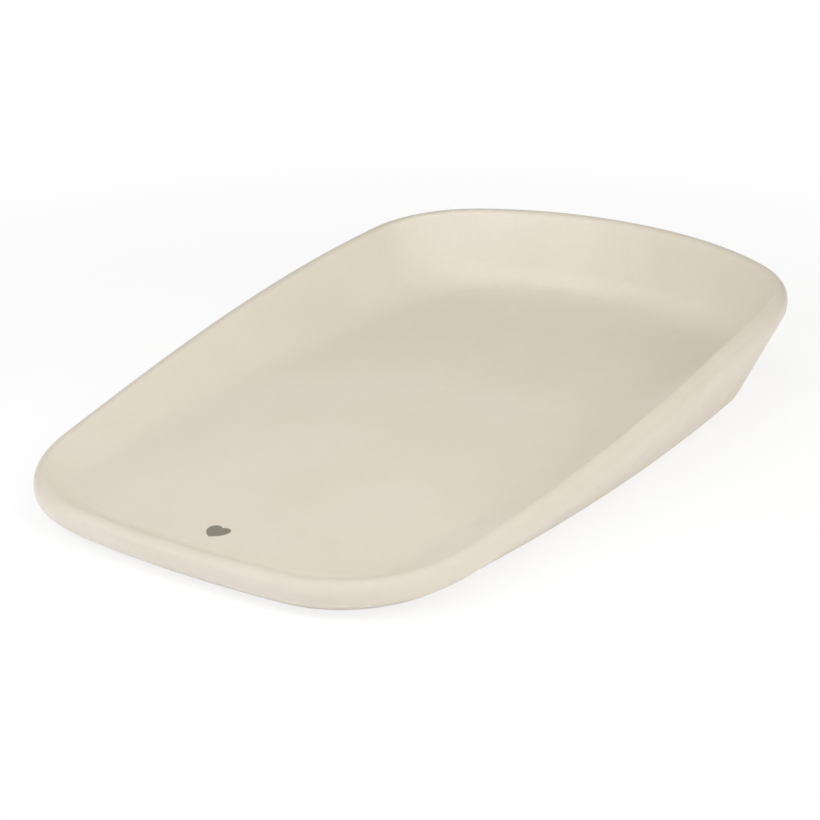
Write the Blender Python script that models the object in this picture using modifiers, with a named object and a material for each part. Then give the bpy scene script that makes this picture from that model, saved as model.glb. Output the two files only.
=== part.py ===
"""Foam changing mat: a one-piece moulded basin of soft foam, low and open at the
foot end, with a rim that climbs along both sides to a high head end.

Metres, +Z up. The head end faces +Y, and the mat stands on six grip pads whose
undersides lie at Z = 0. The origin is the middle of the footprint.
"""

import math

import bmesh
import bpy
from mathutils import Vector
from mathutils.geometry import intersect_sphere_sphere_2d

# Plan outline, seen from above and symmetric about X = 0
LENGTH = 0.700
WIDTH = 0.452
WIDEST_OFFSET = 0.040
SIDE_ARC_RADIUS = 1.960
HEAD_ARC_RADIUS = 0.310
FOOT_ARC_RADIUS = 0.985
HEAD_CORNER_RADIUS = 0.128
FOOT_CORNER_RADIUS = 0.118

# Rim, measured up from the foam's flat underside
HEAD_HEIGHT = 0.1005
FOOT_HEIGHT = 0.026
LIP_RADIUS = 0.009
FOOT_CLIMB_SHARE = 0.55

# Outer wall, which leans in from the lip down to the underside
BASE_SPREAD = 0.0194
BASE_LEAN_SHARE = 0.218
HEAD_TUCK = 0.0083
FOOT_TUCK = 0.0118
BASE_EDGE_RADIUS = 0.005

# Basin, whose floor thickens slightly toward the head
FOOT_FLOOR_THICKNESS = 0.020
HEAD_FLOOR_THICKNESS = 0.034
FOOT_RUNOUT = 0.006
SIDE_RUNOUT = 0.024
END_FILLET_RADIUS = 0.022
SIDE_FILLET_RADIUS = 0.060

# Skin that the mould coating leaves round the foam, in two halves that meet on a flat land
SKIN_THICKNESS = 0.0015
PARTING_LAND = 0.002
GAP = 0.0003

# Grip pads, each glued into a shallow cup that is moulded into the underside
PAD_RADIUS = 0.011
PAD_PROUD = 0.0015
PAD_SIDE_CLEARANCE = 0.0004
PAD_EDGE_RADIUS = 0.0005
CUP_DEPTH = 0.0015
PAD_SIDE_MARGIN = 0.092
PAD_END_MARGIN = 0.105
CUT_OVERRUN = 0.002

# Facets along each stretch of the outline and of the section
FOOT_END_STEPS = 2
FOOT_CORNER_STEPS = 10
SIDE_STEPS = 6
HEAD_CORNER_STEPS = 8
HEAD_END_STEPS = 4
LIP_STEPS = 6
LIP_OUTER_STEPS = 2
FILLET_STEPS = 5
EDGE_STEPS = 2
PAD_SIDES = 24
PAD_BEVEL_SEGMENTS = 2
PAD_SHARP_ANGLE = math.radians(40)

# Zones of the moulding's surface
ZONES = ("basin", "parting", "outside")


def clear_scene():
    for item in list(bpy.data.objects):
        bpy.data.objects.remove(item, do_unlink=True)


def new_collection(name):
    collection = bpy.data.collections.new(name)
    bpy.context.scene.collection.children.link(collection)
    return collection


def linear_from_hex(code):
    channels = [int(code[i:i + 2], 16) / 255 for i in (0, 2, 4)]
    return [c / 12.92 if c <= 0.04045 else ((c + 0.055) / 1.055) ** 2.4 for c in channels]


def make_material(name, code, roughness, metallic=0.0):
    material = bpy.data.materials.new(name)
    material.use_nodes = True
    shader = material.node_tree.nodes["Principled BSDF"]
    shader.inputs["Base Color"].default_value = (*linear_from_hex(code), 1.0)
    shader.inputs["Roughness"].default_value = roughness
    shader.inputs["Metallic"].default_value = metallic
    return material


# The outline is five tangent arcs: foot end, foot corner, side, head corner and head end
def corner_centre(side_centre, end_centre, end_radius, end_tip, corner_radius):
    side_reach = SIDE_ARC_RADIUS - corner_radius
    end_reach = end_radius - corner_radius
    hits = intersect_sphere_sphere_2d(side_centre, side_reach, end_centre, end_reach)
    return min(hits, key=lambda point: (point - end_tip).length)


def heading(start, end):
    return math.atan2(end.y - start.y, end.x - start.x)


def arc_stations(centre, radius, start, end, steps):
    stations = []
    for i in range(steps):
        angle = start + (end - start) * i / steps
        normal = Vector((math.cos(angle), math.sin(angle)))
        stations.append((centre + radius * normal, normal))
    return stations


def right_half_stations():
    """Points on the outline with their outward normals, from foot end to head end."""
    side = Vector((WIDTH / 2 - SIDE_ARC_RADIUS, WIDEST_OFFSET))
    head_tip = Vector((0, LENGTH / 2))
    foot_tip = Vector((0, -LENGTH / 2))
    head = head_tip - Vector((0, HEAD_ARC_RADIUS))
    foot = foot_tip + Vector((0, FOOT_ARC_RADIUS))
    head_corner = corner_centre(side, head, HEAD_ARC_RADIUS, head_tip, HEAD_CORNER_RADIUS)
    foot_corner = corner_centre(side, foot, FOOT_ARC_RADIUS, foot_tip, FOOT_CORNER_RADIUS)
    turns = [-math.pi / 2, heading(foot, foot_corner), heading(side, foot_corner),
             heading(side, head_corner), heading(head, head_corner), math.pi / 2]
    arcs = [(foot, FOOT_ARC_RADIUS, FOOT_END_STEPS),
            (foot_corner, FOOT_CORNER_RADIUS, FOOT_CORNER_STEPS),
            (side, SIDE_ARC_RADIUS, SIDE_STEPS),
            (head_corner, HEAD_CORNER_RADIUS, HEAD_CORNER_STEPS),
            (head, HEAD_ARC_RADIUS, HEAD_END_STEPS)]
    stations = []
    for (centre, radius, steps), start, end in zip(arcs, turns, turns[1:]):
        stations += arc_stations(centre, radius, start, end, steps)
    stations.append((head_tip, Vector((0, 1))))
    return stations


def outline_stations():
    right = right_half_stations()
    flip = Vector((-1, 1))
    left = [(point * flip, normal * flip) for point, normal in reversed(right[1:-1])]
    return right + left


def length_share(y):
    return (y + LENGTH / 2) / LENGTH


def rim_height(y):
    """Climbs from the foot at a set slope and arrives level at the head."""
    s = length_share(y)
    climb = FOOT_CLIMB_SHARE * (s ** 3 - 2 * s ** 2 + s) + 3 * s ** 2 - 2 * s ** 3
    return FOOT_HEIGHT + (HEAD_HEIGHT - FOOT_HEIGHT) * climb


def floor_height(y):
    return FOOT_FLOOR_THICKNESS + (HEAD_FLOOR_THICKNESS - FOOT_FLOOR_THICKNESS) * length_share(y)


def base_inset(height, normal):
    """How far the underside's edge lies in from the outline."""
    tuck = HEAD_TUCK if normal.y > 0 else FOOT_TUCK
    return BASE_SPREAD + BASE_LEAN_SHARE * height - tuck * normal.y ** 2


# A section stands square to the outline: x runs inward from the rim, y runs up
def lip_centre(height):
    return Vector((LIP_RADIUS, height - LIP_RADIUS))


def tangent_angle(centre, point, side):
    """Where a line from the point touches the lip: side +1 is its inner face, -1 its outer."""
    reach = point - centre
    return math.atan2(reach.y, reach.x) + side * math.acos(LIP_RADIUS / reach.length)


def lip_arc(centre, start, end, steps):
    points = []
    for i in range(steps + 1):
        angle = start + (end - start) * i / steps
        points.append(centre + LIP_RADIUS * Vector((math.cos(angle), math.sin(angle))))
    return points


def rounded_corner(before, corner, after, radius, steps):
    """Arc that rounds the corner between two straight stretches."""
    back = (before - corner).normalized()
    ahead = (after - corner).normalized()
    half = back.angle(ahead) / 2
    centre = corner + (back + ahead).normalized() * radius / math.sin(half)
    run = radius / math.tan(half)
    first = corner + back * run - centre
    last = corner + ahead * run - centre
    sweep = math.pi - 2 * half
    return [centre + (first * math.sin(sweep * (1 - i / steps)) + last * math.sin(sweep * i / steps))
            / math.sin(sweep) for i in range(steps + 1)]


def floor_corner(point, normal, height):
    """Where the basin's wall would meet its floor without the fillet."""
    lean = base_inset(height, normal) / (height - LIP_RADIUS)
    drop = (HEAD_HEIGHT - height) / (HEAD_HEIGHT - FOOT_HEIGHT)
    wall_rise = height - LIP_RADIUS - floor_height(point.y)
    inset = 2 * LIP_RADIUS + lean * wall_rise + (FOOT_RUNOUT + SIDE_RUNOUT * normal.x ** 4) * drop
    return Vector((inset, floor_height(point.y - normal.y * inset)))


def basin_section(point, normal):
    """From the floor's edge up the wall and over the lip to the parting line."""
    height = rim_height(point.y)
    centre = lip_centre(height)
    corner = floor_corner(point, normal, height)
    touch = tangent_angle(centre, corner, 1)
    lip = lip_arc(centre, touch, math.pi, LIP_STEPS)
    radius = END_FILLET_RADIUS + (SIDE_FILLET_RADIUS - END_FILLET_RADIUS) * normal.x ** 2
    inward = corner + Vector((LIP_RADIUS, 0))
    fillet = rounded_corner(inward, corner, lip[0], radius, FILLET_STEPS)
    fillet[0].y = floor_height(point.y - normal.y * fillet[0].x)
    parting = lip[-1] - Vector((0, (PARTING_LAND - GAP) / 2))
    return fillet + lip + [parting]


def outer_section(point, normal):
    """From the parting line down the outer wall and round the edge of the underside."""
    height = rim_height(point.y)
    centre = lip_centre(height) - Vector((0, PARTING_LAND))
    corner = Vector((base_inset(height, normal), 0))
    touch = tangent_angle(centre, corner, -1)
    lip = lip_arc(centre, -math.pi, touch, LIP_OUTER_STEPS)
    parting = lip[0] + Vector((0, (PARTING_LAND - GAP) / 2))
    inward = corner + Vector((LIP_RADIUS, 0))
    edge = rounded_corner(lip[-1], corner, inward, BASE_EDGE_RADIUS, EDGE_STEPS)
    return [parting] + lip + edge


def add_ring(bm, stations, insets):
    verts = []
    for (point, normal), section in zip(stations, insets):
        place = point - normal * section.x
        verts.append(bm.verts.new((place.x, place.y, PAD_PROUD + section.y)))
    return [bm.edges.new(pair) for pair in zip(verts, verts[1:] + verts[:1])]


def loft_band(bm, zone_layer, zone, lower, upper):
    band = bmesh.ops.bridge_loops(bm, edges=lower + upper)
    for face in band["faces"]:
        face[zone_layer] = ZONES.index(zone)


def fill_cap(bm, zone_layer, zone, ring):
    cap = bmesh.ops.edgeloop_fill(bm, edges=ring)
    for face in cap["faces"]:
        face[zone_layer] = ZONES.index(zone)


def loft_moulding():
    """The whole moulding as one closed loft, each face marked with the zone it lies in."""
    bm = bmesh.new()
    zones = bm.faces.layers.int.new("zone")
    stations = outline_stations()
    basin = [basin_section(*station) for station in stations]
    outer = [outer_section(*station) for station in stations]
    basin_rings = [add_ring(bm, stations, insets) for insets in zip(*basin)]
    outer_rings = [add_ring(bm, stations, insets) for insets in zip(*outer)]
    fill_cap(bm, zones, "basin", basin_rings[0])
    for lower, upper in zip(basin_rings, basin_rings[1:]):
        loft_band(bm, zones, "basin", lower, upper)
    loft_band(bm, zones, "parting", basin_rings[-1], outer_rings[0])
    for lower, upper in zip(outer_rings, outer_rings[1:]):
        loft_band(bm, zones, "outside", lower, upper)
    fill_cap(bm, zones, "outside", outer_rings[-1])
    bmesh.ops.triangulate(bm, faces=bm.faces, quad_method="SHORT_EDGE")
    bmesh.ops.recalc_face_normals(bm, faces=bm.faces)
    return bm


def finish_mesh(bm, name, material, collection):
    mesh = bpy.data.meshes.new(name)
    bm.to_mesh(mesh)
    bm.free()
    mesh.shade_smooth()
    if material:
        mesh.materials.append(material)
    item = bpy.data.objects.new(name, mesh)
    collection.objects.link(item)
    return item


def add_skin(name, zone, material, collection):
    """Half of the mould skin: the zone's open sheet, which Solidify thickens toward the foam."""
    bm = loft_moulding()
    zones = bm.faces.layers.int["zone"]
    others = [face for face in bm.faces if face[zones] != ZONES.index(zone)]
    bmesh.ops.delete(bm, geom=others, context="FACES")
    skin = finish_mesh(bm, name, material, collection)
    solidify = skin.modifiers.new("skin", "SOLIDIFY")
    solidify.thickness = SKIN_THICKNESS
    solidify.use_even_offset = True
    return skin


def add_foam_core(name, material, collection):
    """The whole moulding, drawn in by the skin's thickness and a gap."""
    bm = loft_moulding()
    depth = SKIN_THICKNESS + GAP
    moves = [(vert, vert.normal * vert.calc_shell_factor() * depth) for vert in bm.verts]
    for vert, move in moves:
        vert.co -= move
    return finish_mesh(bm, name, material, collection)


def pad_places():
    """Named centres of the grip pads: two rows near the ends and one across the middle."""
    side = WIDTH / 2 - PAD_SIDE_MARGIN
    end = LENGTH / 2 - PAD_END_MARGIN
    rows = [("head", end), ("middle", 0), ("foot", -end)]
    columns = [("left", -side), ("right", side)]
    return {f"{row}_{column}": Vector((x, y, 0)) for row, y in rows for column, x in columns}


def add_disc_cutters(name, radius, bottom, top, collection):
    """One disc under each pad place, for cutting or for joining."""
    bm = bmesh.new()
    for place in pad_places().values():
        disc = bmesh.ops.create_cone(bm, cap_ends=True, segments=PAD_SIDES, radius1=radius,
                                     radius2=radius, depth=top - bottom)
        middle = place + Vector((0, 0, (top + bottom) / 2))
        bmesh.ops.translate(bm, verts=disc["verts"], vec=middle)
    item = finish_mesh(bm, name, None, collection)
    item.hide_render = True
    item.display_type = "WIRE"
    return item


def apply_disc(target, cutter, operation):
    boolean = target.modifiers.new(cutter.name, "BOOLEAN")
    boolean.operation = operation
    boolean.object = cutter
    boolean.solver = "EXACT"


def mould_pad_cups(skin, core, cutters):
    """Cups for the pads: the skin dips round each one, and the foam makes room for it."""
    cup_top = PAD_PROUD + CUP_DEPTH
    cup_radius = PAD_RADIUS + PAD_SIDE_CLEARANCE
    wall_radius = cup_radius + SKIN_THICKNESS
    wall_top = cup_top + SKIN_THICKNESS
    wall_bottom = PAD_PROUD + SKIN_THICKNESS / 2
    walls = add_disc_cutters("cup_walls", wall_radius, wall_bottom, wall_top, cutters)
    hollows = add_disc_cutters("cup_hollows", cup_radius, PAD_PROUD - CUT_OVERRUN, cup_top, cutters)
    room = add_disc_cutters("cup_room", wall_radius + GAP, PAD_PROUD - CUT_OVERRUN, wall_top + GAP,
                            cutters)
    apply_disc(skin, walls, "UNION")
    apply_disc(skin, hollows, "DIFFERENCE")
    apply_disc(core, room, "DIFFERENCE")


def add_grip_pads(material, collection):
    thickness = PAD_PROUD + CUP_DEPTH - GAP
    for place_name, place in pad_places().items():
        bm = bmesh.new()
        bmesh.ops.create_cone(bm, cap_ends=True, segments=PAD_SIDES, radius1=PAD_RADIUS,
                              radius2=PAD_RADIUS, depth=thickness)
        pad = finish_mesh(bm, f"grip_pad_{place_name}", material, collection)
        pad.data.set_sharp_from_angle(angle=PAD_SHARP_ANGLE)
        pad.location = place + Vector((0, 0, thickness / 2))
        bevel = pad.modifiers.new("edge", "BEVEL")
        bevel.width = PAD_EDGE_RADIUS
        bevel.segments = PAD_BEVEL_SEGMENTS
        bevel.limit_method = "ANGLE"


def main():
    clear_scene()
    parts = new_collection("foam_changing_mat")
    cutters = new_collection("cutters")
    skin_finish = make_material("soft_touch_skin", "E0D7C8", 0.55)
    foam_finish = make_material("polyurethane_foam", "E6DCC4", 0.9)
    rubber_finish = make_material("grip_rubber", "8E8980", 0.8)

    add_skin("basin_skin", "basin", skin_finish, parts)
    underside = add_skin("underside_skin", "outside", skin_finish, parts)
    core = add_foam_core("foam_core", foam_finish, parts)
    mould_pad_cups(underside, core, cutters)
    add_grip_pads(rubber_finish, parts)


main()
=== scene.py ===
# %% [markdown]
# # Foam changing mat
# The real mat is one block of soft polyurethane foam, moulded as a shallow basin. The foot
# end is low and open, and the rim climbs along both sides to a high head end. The mould
# leaves a closed, matt skin all over it, and six small rubber pads keep it from sliding.
#
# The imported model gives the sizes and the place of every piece, so it is loaded first. The
# soft pieces are then modelled again with finer curves, and everything gets its finish.

import math

import bmesh
import bpy
from mathutils import Matrix, Vector
from mathutils.geometry import intersect_sphere_sphere_2d


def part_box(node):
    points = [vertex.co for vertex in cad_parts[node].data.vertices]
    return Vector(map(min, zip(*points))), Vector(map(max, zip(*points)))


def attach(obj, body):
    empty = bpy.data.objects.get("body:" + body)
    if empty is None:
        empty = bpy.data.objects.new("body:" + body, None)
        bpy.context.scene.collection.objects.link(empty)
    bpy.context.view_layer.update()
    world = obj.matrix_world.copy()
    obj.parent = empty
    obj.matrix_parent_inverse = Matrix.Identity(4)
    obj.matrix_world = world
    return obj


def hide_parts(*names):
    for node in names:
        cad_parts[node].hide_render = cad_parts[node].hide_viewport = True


def mm(length):
    """A length in metres as millimetres, for the printed lines."""
    return round(length * 1000, 1)


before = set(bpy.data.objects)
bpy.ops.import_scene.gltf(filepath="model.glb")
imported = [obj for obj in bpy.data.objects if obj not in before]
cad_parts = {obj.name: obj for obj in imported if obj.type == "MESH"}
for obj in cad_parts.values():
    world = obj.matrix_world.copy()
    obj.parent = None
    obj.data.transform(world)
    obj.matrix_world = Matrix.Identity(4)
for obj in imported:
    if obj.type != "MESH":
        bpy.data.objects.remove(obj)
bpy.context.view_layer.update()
print("nodes in the frame:", ", ".join(sorted(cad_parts)))

# %% [markdown]
# ## Camera
# The mat was seen from its right foot corner, from a little above. A long lens keeps the
# far rim almost as large as the near one. Azimuth turns round the mat from its foot end,
# and a small roll levels the picture as the original was levelled.

# %% Camera
AIM = Vector((0.0119, -0.0509, 0.0415))
AZIMUTH = math.radians(35.30)
ELEVATION = math.radians(21.86)
ROLL = math.radians(-0.26)
DISTANCE = 1.8956
LENS_MM = 99.47
SENSOR_MM = 36


def toward(azimuth, elevation):
    """Direction from the mat's middle out to a place given by azimuth and elevation."""
    level = math.cos(elevation)
    return Vector((math.sin(azimuth) * level, -math.cos(azimuth) * level, math.sin(elevation)))


def aim_at(item, place, target, roll=0.0):
    turn = (place - target).to_track_quat("Z", "Y").to_matrix() @ Matrix.Rotation(roll, 3, "Z")
    item.matrix_world = Matrix.Translation(place) @ turn.to_4x4()


camera = bpy.data.objects.new("camera", bpy.data.cameras.new("camera"))
bpy.context.scene.collection.objects.link(camera)
camera.data.lens = LENS_MM
camera.data.sensor_width = SENSOR_MM
aim_at(camera, AIM + toward(AZIMUTH, ELEVATION) * DISTANCE, AIM, ROLL)
bpy.context.scene.camera = camera
print("camera at", [round(value, 3) for value in camera.location])

# %% [markdown]
# ## Outline
# Seen from above, the rim is five arcs that run smoothly into one another: foot end, foot
# corner, long side, head corner and head end. Only the right half is worked out, and the
# left half is its mirror image. Each station keeps its outward direction, because every
# section of the mat stands square to the outline.

# %% Outline sizes
LENGTH = 0.700
WIDTH = 0.452
WIDEST_OFFSET = 0.040
SIDE_ARC_RADIUS = 1.960
HEAD_ARC_RADIUS = 0.310
FOOT_ARC_RADIUS = 0.985
HEAD_CORNER_RADIUS = 0.128
FOOT_CORNER_RADIUS = 0.118
STEPS = {"foot_end": 8, "foot_corner": 26, "side": 28, "head_corner": 24, "head_end": 12}
print("outline, in mm:", mm(LENGTH), "by", mm(WIDTH))


# %% Outline stations
def corner_centre(side_centre, end_centre, end_radius, end_tip, corner_radius):
    """Centre of the arc that touches both the side arc and the end arc from inside."""
    hits = intersect_sphere_sphere_2d(side_centre, SIDE_ARC_RADIUS - corner_radius,
                                      end_centre, end_radius - corner_radius)
    return min(hits, key=lambda point: (point - end_tip).length)


def heading(start, end):
    return math.atan2(end.y - start.y, end.x - start.x)


def arc_stations(centre, radius, start, end, steps):
    angles = [start + (end - start) * i / steps for i in range(steps)]
    normals = [Vector((math.cos(angle), math.sin(angle))) for angle in angles]
    return [(centre + radius * normal, normal) for normal in normals]


def outline_stations():
    """Points on the outline with their outward normals, from the middle of the foot round."""
    side = Vector((WIDTH / 2 - SIDE_ARC_RADIUS, WIDEST_OFFSET))
    head_tip, foot_tip = Vector((0, LENGTH / 2)), Vector((0, -LENGTH / 2))
    head = head_tip - Vector((0, HEAD_ARC_RADIUS))
    foot = foot_tip + Vector((0, FOOT_ARC_RADIUS))
    head_corner = corner_centre(side, head, HEAD_ARC_RADIUS, head_tip, HEAD_CORNER_RADIUS)
    foot_corner = corner_centre(side, foot, FOOT_ARC_RADIUS, foot_tip, FOOT_CORNER_RADIUS)
    arcs = [(foot, FOOT_ARC_RADIUS, "foot_end"), (foot_corner, FOOT_CORNER_RADIUS, "foot_corner"),
            (side, SIDE_ARC_RADIUS, "side"), (head_corner, HEAD_CORNER_RADIUS, "head_corner"),
            (head, HEAD_ARC_RADIUS, "head_end")]
    turns = [-math.pi / 2, heading(foot, foot_corner), heading(side, foot_corner),
             heading(side, head_corner), heading(head, head_corner), math.pi / 2]
    right = []
    for (centre, radius, name), start, end in zip(arcs, turns, turns[1:]):
        right += arc_stations(centre, radius, start, end, STEPS[name])
    right.append((head_tip, Vector((0, 1))))
    flip = Vector((-1, 1))
    left = [(point * flip, normal * flip) for point, normal in reversed(right[1:-1])]
    return right + left


stations = outline_stations()
print("stations round the outline:", len(stations))

# %% [markdown]
# ## Heights
# The rim leaves the foot at a set slope and arrives level at the head, which is what a
# cubic curve does. The floor of the basin is a plane that thickens slightly toward the head.
# Toward the head it is up to 4 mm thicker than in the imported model, because the real basin
# looks shallower there.

# %% Heights along the mat
HEAD_HEIGHT = 0.1005
FOOT_HEIGHT = 0.026
FOOT_CLIMB_SHARE = 0.55
FOOT_FLOOR_THICKNESS = 0.020
HEAD_FLOOR_THICKNESS = 0.038
PAD_PROUD = 0.0015


def length_share(y):
    return (y + LENGTH / 2) / LENGTH


def rim_height(y):
    """Climbs from the foot at a set slope and arrives level at the head."""
    s = length_share(y)
    climb = FOOT_CLIMB_SHARE * (s ** 3 - 2 * s ** 2 + s) + 3 * s ** 2 - 2 * s ** 3
    return FOOT_HEIGHT + (HEAD_HEIGHT - FOOT_HEIGHT) * climb


def floor_height(y):
    return FOOT_FLOOR_THICKNESS + (HEAD_FLOOR_THICKNESS - FOOT_FLOOR_THICKNESS) * length_share(y)


print("rim at foot, middle and head, in mm:",
      [mm(rim_height(y)) for y in (-LENGTH / 2, 0, LENGTH / 2)])

# %% [markdown]
# ## Sections
# A section runs from the floor up the wall and over the round lip, and then down the outer
# wall, which leans in to the underside. Its first number is how far the point lies in from
# the rim, and its second is its height above the foam's flat underside. The fillet between
# floor and wall is wide along the sides and tight at the ends. The lip is fully round at the
# ends, and along the sides its inner edge is tighter, which draws a crisp line there.

# %% Section sizes
LIP_RADIUS = 0.009
SIDE_EDGE_RADIUS = 0.0035
BASE_SPREAD = 0.0194
BASE_LEAN_SHARE = 0.218
HEAD_TUCK = 0.0083
FOOT_TUCK = 0.0118
BASE_EDGE_RADIUS = 0.005
FOOT_RUNOUT = 0.006
SIDE_RUNOUT = 0.024
END_FILLET_RADIUS = 0.022
SIDE_FILLET_RADIUS = 0.060
PARTING_LAND = 0.002
PARTING_SEAM = 0.00002
print("lip, in mm thick:", mm(2 * LIP_RADIUS))


# %% Lip and fillets
def base_inset(height, normal):
    """How far the underside's edge lies in from the outline."""
    tuck = HEAD_TUCK if normal.y > 0 else FOOT_TUCK
    return BASE_SPREAD + BASE_LEAN_SHARE * height - tuck * normal.y ** 2


def tangent_angle(centre, point, side):
    """Where a line from the point touches the lip: side +1 is its inner face, -1 its outer."""
    reach = point - centre
    return math.atan2(reach.y, reach.x) + side * math.acos(LIP_RADIUS / reach.length)


def lip_arc(centre, start, end, steps):
    angles = [start + (end - start) * i / steps for i in range(steps + 1)]
    return [centre + LIP_RADIUS * Vector((math.cos(angle), math.sin(angle))) for angle in angles]


def rounded_corner(before, corner, after, radius, steps):
    """Arc that rounds the corner between two straight stretches."""
    back, ahead = (before - corner).normalized(), (after - corner).normalized()
    half = back.angle(ahead) / 2
    centre = corner + (back + ahead).normalized() * radius / math.sin(half)
    run = radius / math.tan(half)
    first, last = corner + back * run - centre, corner + ahead * run - centre
    sweep = math.pi - 2 * half
    return [centre + (first * math.sin(sweep * (1 - i / steps))
                      + last * math.sin(sweep * i / steps)) / math.sin(sweep)
            for i in range(steps + 1)]


# %% Section of the basin
FILLET_STEPS = 12
WALL_STEPS = 4
LIP_STEPS = 14


def straight(start, end, steps):
    """Points between two ends, without the ends."""
    return [start.lerp(end, i / steps) for i in range(1, steps)]


def floor_corner(point, normal, height):
    """Where the basin's wall would meet its floor without the fillet."""
    lean = base_inset(height, normal) / (height - LIP_RADIUS)
    drop = (HEAD_HEIGHT - height) / (HEAD_HEIGHT - FOOT_HEIGHT)
    wall_rise = height - LIP_RADIUS - floor_height(point.y)
    inset = 2 * LIP_RADIUS + lean * wall_rise + (FOOT_RUNOUT + SIDE_RUNOUT * normal.x ** 4) * drop
    return Vector((inset, floor_height(point.y - normal.y * inset)))


def inner_edge(centre, corner, radius):
    """Rounding between the wall and the lip's top, for a wall that would touch the full lip."""
    angle = tangent_angle(centre, corner, 1)
    touch = centre + LIP_RADIUS * Vector((math.cos(angle), math.sin(angle)))
    top = centre + Vector((0, LIP_RADIUS))
    ridge = touch + (touch - corner) * (top.y - touch.y) / (touch.y - corner.y)
    return rounded_corner(corner, ridge, top, radius, LIP_STEPS // 2)[:-1]


def basin_section(point, normal):
    """From the floor's edge up the wall and over the lip to the parting line."""
    height = rim_height(point.y)
    centre = Vector((LIP_RADIUS, height - LIP_RADIUS))
    corner = floor_corner(point, normal, height)
    edge_radius = LIP_RADIUS + (SIDE_EDGE_RADIUS - LIP_RADIUS) * normal.x ** 2
    lip = inner_edge(centre, corner, edge_radius)
    lip += lip_arc(centre, math.pi / 2, math.pi, LIP_STEPS // 2)
    radius = END_FILLET_RADIUS + (SIDE_FILLET_RADIUS - END_FILLET_RADIUS) * normal.x ** 2
    fillet = rounded_corner(corner + Vector((LIP_RADIUS, 0)), corner, lip[0], radius, FILLET_STEPS)
    fillet[0].y = floor_height(point.y - normal.y * fillet[0].x)
    wall = straight(fillet[-1], lip[0], WALL_STEPS)
    parting = lip[-1] - Vector((0, (PARTING_LAND - PARTING_SEAM) / 2))
    return fillet + wall + lip + [parting]


print("points in a section of the basin:", len(basin_section(*stations[0])))

# %% Section of the underside
OUTER_LIP_STEPS = 8
OUTER_WALL_STEPS = 6
EDGE_STEPS = 6


def outer_section(point, normal):
    """From the parting line down the outer wall and round the edge of the underside."""
    height = rim_height(point.y)
    centre = Vector((LIP_RADIUS, height - LIP_RADIUS - PARTING_LAND))
    corner = Vector((base_inset(height, normal), 0))
    lip = lip_arc(centre, -math.pi, tangent_angle(centre, corner, -1), OUTER_LIP_STEPS)
    edge = rounded_corner(lip[-1], corner, corner + Vector((LIP_RADIUS, 0)), BASE_EDGE_RADIUS,
                          EDGE_STEPS)
    parting = lip[0] + Vector((0, (PARTING_LAND - PARTING_SEAM) / 2))
    return [parting] + lip + straight(lip[-1], edge[0], OUTER_WALL_STEPS) + edge


print("points in a section of the outside:", len(outer_section(*stations[0])))

# %% [markdown]
# ## Growing a surface ring by ring
# Both halves start as one small circle of vertices, which is moved onto a shrunken copy of
# the first outline. Each further ring is an extrusion of the last one's edges, moved to the
# next points of the sections. A number on each vertex says which station it belongs to, and
# an extrusion copies that number, so no ring can get out of step. The last flat ring lies
# close to the edge, so that the rounding's shading can't creep across the flat part.

# %% Ring by ring
FLOOR_RINGS = 8
LAST_FLAT_SHARE = 0.985


def ring_places(insets):
    """World places of one ring, from the sections' points at that ring."""
    return [(point - normal * inset.x).to_3d() + Vector((0, 0, PAD_PROUD + inset.y))
            for (point, normal), inset in zip(stations, insets)]


def flat_rings(edge):
    """Rings that fill the surface inside an edge, from the middle outward."""
    middle = sum(edge, Vector()) / len(edge)
    shares = [i / FLOOR_RINGS for i in range(1, FLOOR_RINGS)] + [LAST_FLAT_SHARE]
    return [[middle.lerp(place, share) for place in edge] for share in shares]


def grow_surface(rings, up, polish=()):
    """A surface from its middle out to its last ring, whose middle faces up (+1) or down (-1).

    Polish has one number for each ring, and rings past its end have none.
    """
    bm = bmesh.new()
    station = bm.verts.layers.int.new("station")
    rubbed = bm.verts.layers.float.new("polish")
    shares = list(polish) + [0.0] * (len(rings) - len(polish))
    disc = bmesh.ops.create_circle(bm, cap_ends=True, cap_tris=True, segments=len(stations),
                                   radius=WIDTH / 2)
    hub, rim = disc["verts"][0], disc["verts"][1:]
    hub.co = sum(rings[0], Vector()) / len(stations)
    for i, vert in enumerate(rim):
        vert[station] = i
        vert.co = rings[0][i]
    edges = [edge for edge in bm.edges if edge.is_boundary]
    for places, share in zip(rings[1:], shares[1:]):
        grown = bmesh.ops.extrude_edge_only(bm, edges=edges)["geom"]
        for vert in [item for item in grown if isinstance(item, bmesh.types.BMVert)]:
            vert.co = places[vert[station]]
            vert[rubbed] = share
        edges = [item for item in grown
                 if isinstance(item, bmesh.types.BMEdge) and item.is_boundary]
    bmesh.ops.recalc_face_normals(bm, faces=bm.faces)
    if hub.normal.z * up < 0:
        bmesh.ops.reverse_faces(bm, faces=bm.faces)
    return bm


basin_rings = [ring_places(insets) for insets in zip(*[basin_section(*each) for each in stations])]
outer_rings = [ring_places(insets) for insets in zip(*[outer_section(*each) for each in stations])]
print("rings up the basin and down the outside:", len(basin_rings), len(outer_rings))

# %% Where hands polish the lip
# One number for each ring: 0 up to the lip, rising to 1 on its crown and back to 0
before_lip = FLOOR_RINGS + FILLET_STEPS + WALL_STEPS
crown = [math.sin(math.pi * i / LIP_STEPS) for i in range(LIP_STEPS + 1)]
lip_polish = [0.0] * before_lip + crown
print("rings on the lip:", len(crown), "after", before_lip)

# %% [markdown]
# ## Finishes
# Colours are written as sRGB hex values, and one function turns them into the linear numbers
# that the shader works with. Another small function adds a node with its settings and links.
# A Mix node's sockets share their names, so they go by number here.

# %% Colour and node helpers
WHITE = (1, 1, 1, 1)
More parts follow.
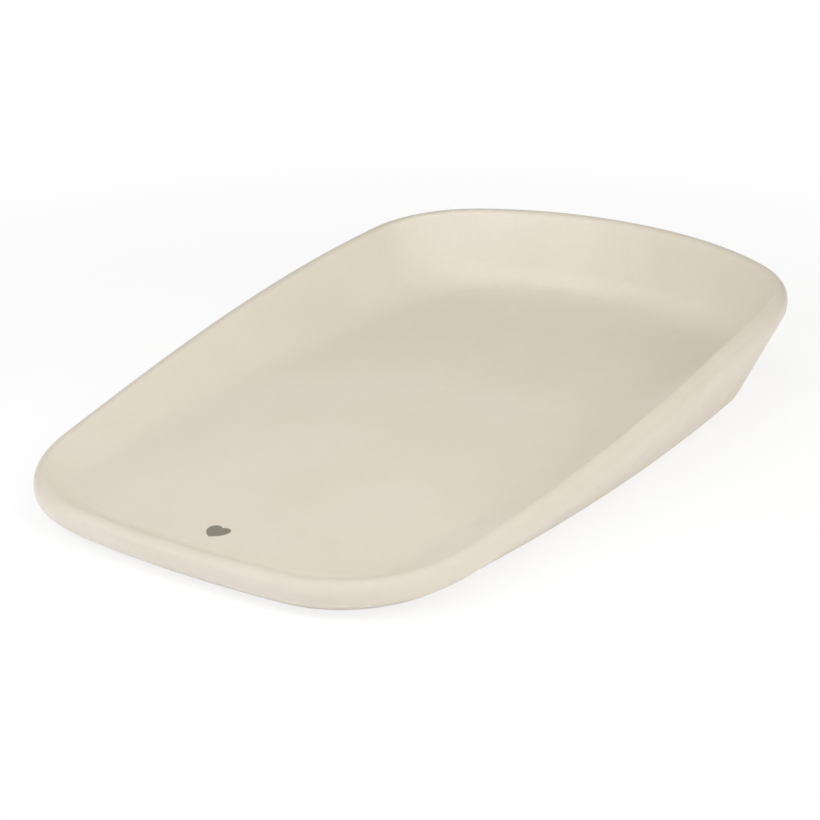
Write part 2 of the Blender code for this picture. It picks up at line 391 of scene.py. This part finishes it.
# Sockets of a Mix node: its share, then the two numbers or colours it mixes, and its results
SHARE, NUMBER_A, NUMBER_B, COLOUR_A, COLOUR_B = 0, 2, 3, 6, 7
NUMBER_OUT, COLOUR_OUT = 0, 2


def linear(code):
    channels = [int(code[i:i + 2], 16) / 255 for i in (0, 2, 4)]
    return [c / 12.92 if c <= 0.04045 else ((c + 0.055) / 1.055) ** 2.4 for c in channels] + [1.0]


def connect(node, wires):
    """Links each source into the node's socket of that name or number."""
    for socket, source in dict(wires).items():
        node.id_data.links.new(source, node.inputs[socket])


def add_node(tree, kind, values=(), wires=(), **settings):
    """Adds a node, sets its own options, then its sockets' values and the links into them."""
    node = tree.nodes.new(kind)
    for name, value in settings.items():
        setattr(node, name, value)
    for socket, value in dict(values).items():
        node.inputs[socket].default_value = value
    connect(node, wires)
    return node


def new_finish(name):
    material = bpy.data.materials.new(name)
    material.use_nodes = True
    return material, material.node_tree, material.node_tree.nodes["Principled BSDF"]


print("middle grey, in linear numbers:", [round(value, 3) for value in linear("808080")])

# %% [markdown]
# ## Soft-touch skin
# The skin is polyurethane that is painted into the mould before the foam is poured, so it
# copies the satin blasting of the mould: matt, faintly waxy, and never quite even. One plain
# colour would look like plastic film. So the shade drifts over a hand's width, a fine grain
# breaks the light, the soft foam lets the surface ripple a little, and hands keep the lip
# smoother than the rest. All patterns read Object coordinates, in metres, so each one's scale
# is one over its real width.

# %% Skin finish
SKIN_LIGHT = "E2D9CA"
SKIN_DEEP = "DED5C4"
SKIN_GLOSS = 0.4
# Each pattern's width and detail. The real blasting is about 0.3 mm wide, which is too fine
# to show, so its grain is drawn coarser.
SKIN_PATTERNS = {
    "shade": (0.11, 3.0),
    "speck": (0.005, 2.0),
    "patch": (0.030, 3.0),
    "ripple": (0.050, 1.0),
    "grain": (0.0014, 2.0),
}
SPECK_SHARE = 0.3
# Noise keeps near its middle value, so only that range is spread over the shades
SHADE_RANGE = (0.35, 0.65)
PATCH_RANGE = (0.3, 0.7)
RIPPLE_RELIEF = 0.0014
GRAIN_RELIEF = 0.0001
SATIN, DULL = 0.37, 0.47
POLISH_CHANGE = -0.07


def skin_finish(name):
    """Moulded polyurethane skin: matt and faintly waxy, with a lip that hands have polished."""
    material, tree, shader = new_finish(name)
    place = add_node(tree, "ShaderNodeTexCoord").outputs["Object"]
    noise = {}
    for pattern, (width, detail) in SKIN_PATTERNS.items():
        node = add_node(tree, "ShaderNodeTexNoise", {"Scale": 1 / width, "Detail": detail},
                        {"Vector": place})
        noise[pattern] = node.outputs["Fac"]
    mottle = add_node(tree, "ShaderNodeMix", {SHARE: SPECK_SHARE},
                      {NUMBER_A: noise["shade"], NUMBER_B: noise["speck"]})
    spread = add_node(tree, "ShaderNodeMapRange",
                      {"From Min": SHADE_RANGE[0], "From Max": SHADE_RANGE[1]},
                      {"Value": mottle.outputs[NUMBER_OUT]})
    tint = add_node(tree, "ShaderNodeMix",
                    {COLOUR_A: linear(SKIN_LIGHT), COLOUR_B: linear(SKIN_DEEP)},
                    {SHARE: spread.outputs["Result"]}, data_type="RGBA")
    satin = add_node(tree, "ShaderNodeMapRange",
                     {"From Min": PATCH_RANGE[0], "From Max": PATCH_RANGE[1],
                      "To Min": SATIN, "To Max": DULL},
                     {"Value": noise["patch"]})
    rubbed = add_node(tree, "ShaderNodeAttribute", attribute_name="polish")
    rough = add_node(tree, "ShaderNodeMath", {1: POLISH_CHANGE},
                     {0: rubbed.outputs["Fac"], 2: satin.outputs["Result"]},
                     operation="MULTIPLY_ADD")
    swell = add_node(tree, "ShaderNodeBump", {"Distance": RIPPLE_RELIEF},
                     {"Height": noise["ripple"]})
    blasted = add_node(tree, "ShaderNodeBump", {"Distance": GRAIN_RELIEF},
                       {"Height": noise["grain"], "Normal": swell.outputs["Normal"]})
    connect(shader, {"Base Color": tint.outputs[COLOUR_OUT], "Roughness": rough.outputs[0],
                     "Normal": blasted.outputs["Normal"]})
    shader.inputs["Specular IOR Level"].default_value = SKIN_GLOSS
    return material


skin = skin_finish("moulded_polyurethane_skin")
print("skin:", skin.name, "with", len(skin.node_tree.nodes), "nodes")

# %% [markdown]
# ## Printed heart
# A small heart, pad-printed in grey ink on the floor near the foot end, shows which way
# round a child lies. Printed ink has no thickness to speak of, so it belongs in the finish and
# not in the mesh. The curve x^2 + y^2 - 1 = y |x|^(2/3) is a heart 2.28 units wide: its
# inside is where the left side is the smaller one.

# %% Printed heart
HEART_PLACE = (0.007, -0.300, 0.0)
HEART_UNIT = 0.0085
HEART_SPAN = 2.28
INK = "8A8578"
INK_ROUGHNESS = 0.55
INK_EDGE = 0.03


def print_heart(material):
    """Mixes the ink into the colour and roughness that the finish already has."""
    tree = material.node_tree
    shader = tree.nodes["Principled BSDF"]
    place = add_node(tree, "ShaderNodeTexCoord").outputs["Object"]
    local = add_node(tree, "ShaderNodeMapping",
                     {"Location": HEART_PLACE, "Scale": [HEART_UNIT] * 3},
                     {"Vector": place}, vector_type="TEXTURE")
    axes = add_node(tree, "ShaderNodeSeparateXYZ", {}, {0: local.outputs["Vector"]})
    x, y = axes.outputs["X"], axes.outputs["Y"]
    xx = add_node(tree, "ShaderNodeMath", {}, {0: x, 1: x}, operation="MULTIPLY").outputs[0]
    yy = add_node(tree, "ShaderNodeMath", {}, {0: y, 1: y}, operation="MULTIPLY").outputs[0]
    ring = add_node(tree, "ShaderNodeMath", {}, {0: xx, 1: yy}, operation="ADD").outputs[0]
    disc = add_node(tree, "ShaderNodeMath", {1: 1.0}, {0: ring}, operation="SUBTRACT").outputs[0]
    lobe = add_node(tree, "ShaderNodeMath", {1: 1 / 3}, {0: xx}, operation="POWER").outputs[0]
    notch = add_node(tree, "ShaderNodeMath", {}, {0: y, 1: lobe}, operation="MULTIPLY").outputs[0]
    curve = add_node(tree, "ShaderNodeMath", {}, {0: notch, 1: disc}, operation="SUBTRACT")
    inked = add_node(tree, "ShaderNodeMapRange", {"From Min": -INK_EDGE, "From Max": INK_EDGE},
                     {"Value": curve.outputs[0]}).outputs["Result"]
    bare = shader.inputs["Base Color"].links[0].from_socket
    tint = add_node(tree, "ShaderNodeMix", {COLOUR_B: linear(INK)},
                    {SHARE: inked, COLOUR_A: bare}, data_type="RGBA")
    satin = shader.inputs["Roughness"].links[0].from_socket
    rough = add_node(tree, "ShaderNodeMix", {NUMBER_B: INK_ROUGHNESS},
                     {SHARE: inked, NUMBER_A: satin})
    connect(shader, {"Base Color": tint.outputs[COLOUR_OUT],
                     "Roughness": rough.outputs[NUMBER_OUT]})


printed_skin = skin_finish("moulded_polyurethane_skin_with_print")
print_heart(printed_skin)
print("heart, in mm across:", mm(HEART_UNIT * HEART_SPAN))

# %% [markdown]
# ## From mesh to piece
# A mesh becomes a piece of the mat when it has a name, a finish and a place in the frame. The
# three soft pieces each stand for an imported node, which is hidden, and move with the mat's
# one body.

# %% From mesh to piece
SHARP_ANGLE = math.radians(40)


def new_piece(bm, name, material):
    mesh = bpy.data.meshes.new(name)
    bm.to_mesh(mesh)
    bm.free()
    mesh.shade_smooth()
    mesh.materials.append(material)
    piece = bpy.data.objects.new(name, mesh)
    bpy.context.scene.collection.objects.link(piece)
    return piece


def bake_modifiers(piece):
    """Turns the modifiers' result into the piece's own mesh, and keeps its corners crisp."""
    seen = piece.evaluated_get(bpy.context.evaluated_depsgraph_get())
    mesh = bpy.data.meshes.new_from_object(seen)
    piece.modifiers.clear()
    piece.data = mesh
    mesh.set_sharp_from_angle(angle=SHARP_ANGLE)


def set_in_frame(piece, slot, *nodes):
    """The piece stands for these nodes, which are hidden, and rides on the one body."""
    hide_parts(*nodes)
    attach(piece, "root")
    print(piece.name, "has", len(piece.data.polygons), "faces")


print("corners stay crisp from", round(math.degrees(SHARP_ANGLE)), "degrees")

# %% [markdown]
# ## Skin over the basin
# The upper half of the skin is one open surface that Solidify thickens toward the foam, so
# its outside stays exactly where the sections put it. Smooth shading is enough for it,
# because its rings lie closer together than the eye can part them. Only the parting edge is
# marked sharp, or its narrow rim would tilt the shading beside it and draw a dark line.

# %% Skin over the basin
SKIN_THICKNESS = 0.0015


def thicken(piece):
    wall = piece.modifiers.new("skin", "SOLIDIFY")
    wall.thickness = SKIN_THICKNESS
    wall.use_even_offset = True


basin_bm = grow_surface(flat_rings(basin_rings[0]) + basin_rings, 1, lip_polish)
basin = new_piece(basin_bm, "basin_skin_soft", printed_skin)
thicken(basin)
bake_modifiers(basin)
set_in_frame(basin, "skin", "basin_skin")

# %% [markdown]
# ## Skin under the mat
# The lower half runs from the same parting line down the outer wall and across the flat
# underside. It dips into a shallow cup round each grip pad. Discs cut the cups: one set adds
# the cup's own wall, and a second set hollows it out.

# %% Cutting tools
CUP_DEPTH = 0.0015
CUP_CLEARANCE = 0.0004
CUP_SIDES = 48
OVERRUN = 0.002

pads = [name for name in sorted(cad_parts) if name.startswith("grip_pad")]


def pad_circle(pad):
    """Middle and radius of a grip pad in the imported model, seen from above."""
    low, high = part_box(pad)
    return Vector(((low.x + high.x) / 2, (low.y + high.y) / 2, 0)), (high.x - low.x) / 2


def pad_discs(name, spare, bottom, top):
    """One disc at each grip pad, wider than the pad by spare."""
    bm = bmesh.new()
    for middle, radius in map(pad_circle, pads):
        disc = bmesh.ops.create_cone(bm, cap_ends=True, segments=CUP_SIDES,
                                     radius1=radius + spare, radius2=radius + spare,
                                     depth=top - bottom)
        lift = Vector((0, 0, (bottom + top) / 2))
        bmesh.ops.translate(bm, verts=disc["verts"], vec=middle + lift)
    return new_piece(bm, name, None)


def use_discs(piece, discs, operation):
    cut = piece.modifiers.new(discs.name, "BOOLEAN")
    cut.object = discs
    cut.operation = operation
    cut.solver = "EXACT"


print("pads, in mm across:", [mm(2 * pad_circle(pad)[1]) for pad in pads])

# %% Cup mouths
CUP_LIP = 0.0004
CUP_LIP_STEPS = 3
# A corner this near a circle is on it, and an edge this short is a leftover of the cutting
NEAR = 0.00005
SLIVER = 0.00001


def flared_discs(name, top):
    """One disc at each grip pad that hollows a cup with a rounded mouth."""
    bm = bmesh.new()
    turns = [math.pi / 2 * i / CUP_LIP_STEPS for i in range(CUP_LIP_STEPS + 1)]
    for middle, pad_radius in map(pad_circle, pads):
        radius = pad_radius + CUP_CLEARANCE
        profile = [(radius + CUP_LIP, PAD_PROUD - OVERRUN)]
        profile += [(radius + CUP_LIP * (1 - math.sin(turn)),
                     PAD_PROUD + CUP_LIP * (1 - math.cos(turn))) for turn in turns]
        profile.append((radius, top))
        rings = [bmesh.ops.create_circle(bm, segments=CUP_SIDES, radius=reach,
                                         matrix=Matrix.Translation(middle + Vector((0, 0, z))))
                 for reach, z in profile]
        loops = [list({edge for vert in ring["verts"] for edge in vert.link_edges})
                 for ring in rings]
        for lower, upper in zip(loops, loops[1:]):
            bmesh.ops.bridge_loops(bm, edges=lower + upper)
        bmesh.ops.edgeloop_fill(bm, edges=loops[0])
        bmesh.ops.edgeloop_fill(bm, edges=loops[-1])
    bmesh.ops.recalc_face_normals(bm, faces=bm.faces)
    return new_piece(bm, name, None)


def circles_a_pad(edge, middles, radius):
    """Whether an edge lies in the underside's plane, on the circle round one of the pads."""
    for vert in edge.verts:
        reach = min((vert.co.xy - middle.xy).length for middle in middles)
        if abs(vert.co.z - PAD_PROUD) > NEAR or abs(reach - radius) > NEAR:
            return False
    return True


def crisp_cup_rims(piece):
    """Clears slivers left by the cutting, and marks the edges round the cups as sharp.

    Without the marks the cups' rounding would tilt the shading of the underside beside it.
    """
    middles, radii = zip(*map(pad_circle, pads))
    radius = radii[0] + CUP_CLEARANCE + CUP_LIP
    bm = bmesh.new()
    bm.from_mesh(piece.data)
    bmesh.ops.dissolve_degenerate(bm, dist=SLIVER, edges=bm.edges)
    rims = [edge for edge in bm.edges if circles_a_pad(edge, middles, radius)]
    for edge in rims:
        edge.smooth = False
    bm.to_mesh(piece.data)
    bm.free()
    print("edges round the cups:", len(rims))


# %% Skin under the mat
cup_top = PAD_PROUD + CUP_DEPTH
under = new_piece(grow_surface(flat_rings(outer_rings[-1]) + outer_rings[::-1], -1),
                  "underside_skin_soft", skin)
thicken(under)
walls = pad_discs("cup_walls", CUP_CLEARANCE + SKIN_THICKNESS, PAD_PROUD + SKIN_THICKNESS / 2,
                  cup_top + SKIN_THICKNESS)
hollows = flared_discs("cup_hollows", cup_top)
use_discs(under, walls, "UNION")
use_discs(under, hollows, "DIFFERENCE")
bake_modifiers(under)
crisp_cup_rims(under)
set_in_frame(under, "skin", "underside_skin")

# %% [markdown]
# ## Foam inside
# The foam fills everything between the two skins. It is never seen from outside, but it is
# what makes the mat soft, so it is a closed form of its own with the fine cells of cut foam.

# %% Foam finish
FOAM_CELL = 0.001
# The pores are painted darker than the cell walls, as painted shade in their hollows
FOAM_PORE_SHADE = "D9CDAF"
FOAM_WALL = "EEE6D0"
FOAM_ROUGHNESS = 0.95
FOAM_RELIEF = 0.00025
FOAM_SOFTENING = 0.5


def foam_finish():
    """Open-celled polyurethane foam: dull, warm white, with cells of about a millimetre and
    painted shade in their hollows.
    """
    material, tree, shader = new_finish("polyurethane_foam_cells")
    place = add_node(tree, "ShaderNodeTexCoord").outputs["Object"]
    cells = add_node(tree, "ShaderNodeTexVoronoi", {"Scale": 1 / FOAM_CELL}, {"Vector": place})
    # Painted shade: darker toward each cell's middle, where the bump sinks into a pore
    tint = add_node(tree, "ShaderNodeMix",
                    {COLOUR_A: linear(FOAM_PORE_SHADE), COLOUR_B: linear(FOAM_WALL)},
                    {SHARE: cells.outputs["Distance"]}, data_type="RGBA")
    bumps = add_node(tree, "ShaderNodeBump",
                     {"Strength": FOAM_SOFTENING, "Distance": FOAM_RELIEF},
                     {"Height": cells.outputs["Distance"]})
    connect(shader, {"Base Color": tint.outputs[COLOUR_OUT], "Normal": bumps.outputs["Normal"]})
    shader.inputs["Roughness"].default_value = FOAM_ROUGHNESS
    return material


foam = foam_finish()
print("foam:", foam.name, "with", len(foam.node_tree.nodes), "nodes")

# %% Foam inside
GAP = 0.0003

core_rings = flat_rings(basin_rings[0]) + basin_rings + outer_rings
core_bm = grow_surface(core_rings + flat_rings(outer_rings[-1])[::-1], 1)
bmesh.ops.edgeloop_fill(core_bm, edges=[edge for edge in core_bm.edges if edge.is_boundary])
bmesh.ops.recalc_face_normals(core_bm, faces=core_bm.faces)
inward = [(vert, vert.normal * vert.calc_shell_factor() * (SKIN_THICKNESS + GAP))
          for vert in core_bm.verts]
for vert, move in inward:
    vert.co -= move
core = new_piece(core_bm, "foam_core_soft", foam)
room = pad_discs("cup_room", CUP_CLEARANCE + SKIN_THICKNESS + GAP, PAD_PROUD - OVERRUN,
                 cup_top + SKIN_THICKNESS + GAP)
use_discs(core, room, "DIFFERENCE")
bake_modifiers(core)
set_in_frame(core, "foam", "foam_core")
for tool in (walls, hollows, room):
    bpy.data.objects.remove(tool)

# %% [markdown]
# ## Grip pads
# Six rubber discs, glued into their cups, keep the mat from sliding. Their shape in the packed
# model is already right, so only their finish is new: dull grey moulded rubber with a fine
# stipple, which looks slightly uneven where it has picked up dust.

# %% Rubber finish
RUBBER_LIGHT = "979188"
RUBBER_DEEP = "837E76"
STIPPLE_WIDTH = 0.0012
STIPPLE_RELIEF = 0.00015
DUST_WIDTH = 0.006
DUST_DETAIL = 4.0
CLEAN, DUSTY = 0.6, 0.8


def rubber_finish():
    """Moulded rubber: dull and stippled, and a little lighter where dust sits in it."""
    material, tree, shader = new_finish("moulded_grip_rubber")
    place = add_node(tree, "ShaderNodeTexCoord").outputs["Object"]
    dust = add_node(tree, "ShaderNodeTexNoise",
                    {"Scale": 1 / DUST_WIDTH, "Detail": DUST_DETAIL}, {"Vector": place})
    tint = add_node(tree, "ShaderNodeMix",
                    {COLOUR_A: linear(RUBBER_DEEP), COLOUR_B: linear(RUBBER_LIGHT)},
                    {SHARE: dust.outputs["Fac"]}, data_type="RGBA")
    rough = add_node(tree, "ShaderNodeMapRange", {"To Min": CLEAN, "To Max": DUSTY},
                     {"Value": dust.outputs["Fac"]})
    stipple = add_node(tree, "ShaderNodeTexVoronoi", {"Scale": 1 / STIPPLE_WIDTH},
                       {"Vector": place}, feature="SMOOTH_F1")
    bumps = add_node(tree, "ShaderNodeBump", {"Distance": STIPPLE_RELIEF},
                     {"Height": stipple.outputs["Distance"]})
    connect(shader, {"Base Color": tint.outputs[COLOUR_OUT],
                     "Roughness": rough.outputs["Result"], "Normal": bumps.outputs["Normal"]})
    return material


rubber = rubber_finish()
for name in pads:
    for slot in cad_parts[name].material_slots:
        slot.material = rubber
print("pads in rubber:", len(pads))

# %% [markdown]
# ## Floor, backdrop and light
# The mat stands on a plain pale floor under soft studio light. Rays from the camera see the
# floor mostly as white, and wholly white further off, so that the picture has a white ground
# with a faint shadow round the mat. Diffuse rays see a shooting table: matt white, with a
# faint glow from below that keeps the outer walls light right down to the edge they stand on.

# %% Floor
FLOOR_SIZE = 12
FLOOR_COLOUR = "F4F4F4"
TABLE_GLOW = 0.12
SHADOW_SHARE = 0.25
SHADOW_REACH = 0.40
WHITE_REACH = 1.00


def floor_finish():
    """Matt white table whose shadow the camera sees only in part, and not at all further off."""
    material, tree, shader = new_finish("matt_white_floor")
    shader.inputs["Base Color"].default_value = linear(FLOOR_COLOUR)
    shader.inputs["Roughness"].default_value = 1.0
    shader.inputs["Specular IOR Level"].default_value = 0.0
    shader.inputs["Emission Color"].default_value = WHITE
    shader.inputs["Emission Strength"].default_value = TABLE_GLOW
    rays = add_node(tree, "ShaderNodeLightPath")
    shiny = add_node(tree, "ShaderNodeMath", {},
                     {0: rays.outputs["Is Camera Ray"], 1: rays.outputs["Is Glossy Ray"]},
                     operation="MAXIMUM")
    seen = add_node(tree, "ShaderNodeMath", {},
                    {0: shiny.outputs[0], 1: rays.outputs["Is Transmission Ray"]},
                    operation="MAXIMUM")
    place = add_node(tree, "ShaderNodeTexCoord").outputs["Object"]
    reach = add_node(tree, "ShaderNodeVectorMath", {}, {0: place}, operation="LENGTH")
    white_share = add_node(tree, "ShaderNodeMapRange",
                           {"From Min": SHADOW_REACH, "From Max": WHITE_REACH,
                            "To Min": 1 - SHADOW_SHARE, "To Max": 1.0},
                           {"Value": reach.outputs["Value"]}, interpolation_type="SMOOTHSTEP")
    share = add_node(tree, "ShaderNodeMath", {},
                     {0: seen.outputs[0], 1: white_share.outputs["Result"]},
                     operation="MULTIPLY")
    white = add_node(tree, "ShaderNodeEmission", {"Color": WHITE, "Strength": 1.0})
    both = add_node(tree, "ShaderNodeMixShader", {},
                    {0: share.outputs[0], 1: shader.outputs["BSDF"],
                     2: white.outputs["Emission"]})
    connect(tree.nodes["Material Output"], {"Surface": both.outputs["Shader"]})
    return material


floor_bm = bmesh.new()
bmesh.ops.create_grid(floor_bm, x_segments=1, y_segments=1, size=FLOOR_SIZE)
floor = new_piece(floor_bm, "floor", floor_finish())
print("floor:", floor.data.materials[0].name)

# %% [markdown]
# ## World
# The world gives no light of its own. It only puts the same white behind the mat as the
# floor shows, for rays that come from the camera, straight or through something clear.

# %% World
WORLD_STRENGTH = 0.0

world = bpy.data.worlds.new("white_studio")
bpy.context.scene.world = world
world.use_nodes = True
sky = world.node_tree
soft = sky.nodes["Background"]
soft.inputs["Color"].default_value = WHITE
soft.inputs["Strength"].default_value = WORLD_STRENGTH
backdrop = add_node(sky, "ShaderNodeBackground", {"Color": WHITE, "Strength": 1.0})
rays = add_node(sky, "ShaderNodeLightPath")
seen = add_node(sky, "ShaderNodeMath", {},
                {0: rays.outputs["Is Camera Ray"], 1: rays.outputs["Is Transmission Ray"]},
                operation="MAXIMUM")
mixed = add_node(sky, "ShaderNodeMixShader", {},
                 {0: seen.outputs[0], 1: soft.outputs["Background"],
                  2: backdrop.outputs["Background"]})
connect(sky.nodes["World Output"], {"Surface": mixed.outputs["Shader"]})
print("light from the world:", WORLD_STRENGTH)

# %% [markdown]
# ## Lamps
# Large soft boxes stand round the mat, and small panels hang above it, since its floor is
# lighter toward the foot. The box at the foot end is as cool as daylight and the panel over
# the middle is warmer, because the real mat looks whiter where it is lightest. A small, cold
# accent lamp with a narrow beam lifts the far left corner, where the head wall faces the eye.
# No lamp shows up in the gloss, because the real skin shows hardly any.

# %% Lamp sizes and places
PLAIN, WARM, FRESH, COOL, COLD = "FFFFFF", "FFFDF2", "F9FBFF", "E4EEFF", "B8DAFF"
# Azimuth and elevation in degrees, power in watts, and colour
SOFT_BOXES = {
    "right": ((90, 25), 22.5, PLAIN),
    "right_high": ((90, 45), 5.0, PLAIN),
    "right_rear": ((160, 12), 9.0, PLAIN),
    "left": ((300, 25), 11.5, PLAIN),
    "foot": ((0, 8), 18.0, COOL),
    "rear": ((210, 8), 27.5, PLAIN),
    "top": ((0, 70), 9.0, PLAIN),
}
LAMP_DISTANCE = 2.5
SOFT_BOX_SIZE = 1.5
# Place over the mat, power in watts, and colour
PANELS = {
    "panel_foot_left": ((-0.5, -0.9), 4.1, FRESH),
    "panel_foot_right": ((0.5, -0.4), 2.1, PLAIN),
    "panel_middle": ((0.0, 0.1), 1.6, WARM),
}
PANEL_HEIGHT = 0.8
PANEL_SIZE = 0.6
HEAD_CORNER = Vector((-0.155, 0.295, 0.075))
ACCENT_AZIMUTH, ACCENT_ELEVATION = 50, 20
ACCENT_SIZE = 0.18
ACCENT_BEAM = math.radians(4)
ACCENT_POWER = 0.017
print("soft boxes:", ", ".join(SOFT_BOXES))


# %% Lamps
def stand_place(azimuth, elevation):
    """Where a lamp stands, in degrees round the mat and up from its floor."""
    return toward(math.radians(azimuth), math.radians(elevation)) * LAMP_DISTANCE


def hang_lamp(name, place, target, size, power, colour):
    light = bpy.data.lights.new(name, "AREA")
    light.size = size
    light.energy = power
    light.color = linear(colour)[:3]
    lamp = bpy.data.objects.new(name, light)
    lamp.visible_glossy = False
    bpy.context.scene.collection.objects.link(lamp)
    aim_at(lamp, place, target)
    return lamp


for name, (angles, power, colour) in SOFT_BOXES.items():
    hang_lamp(name, stand_place(*angles), Vector(), SOFT_BOX_SIZE, power, colour)
for name, ((x, y), power, colour) in PANELS.items():
    hang_lamp(name, Vector((x, y, PANEL_HEIGHT)), Vector((0, y / 2, 0)), PANEL_SIZE, power,
              colour)
accent = hang_lamp("accent", stand_place(ACCENT_AZIMUTH, ACCENT_ELEVATION), HEAD_CORNER,
                   ACCENT_SIZE, ACCENT_POWER, COLD)
accent.data.spread = ACCENT_BEAM
print("lamps:", len(SOFT_BOXES) + len(PANELS) + 1)

# %% [markdown]
# ## Colours as they are written
# The Standard view shows a colour as its hex value says. Blender's own default would soften
# the light tones and turn the white floor grey.

# %% View
bpy.context.scene.view_settings.view_transform = "Standard"
print("view:", bpy.context.scene.view_settings.view_transform)
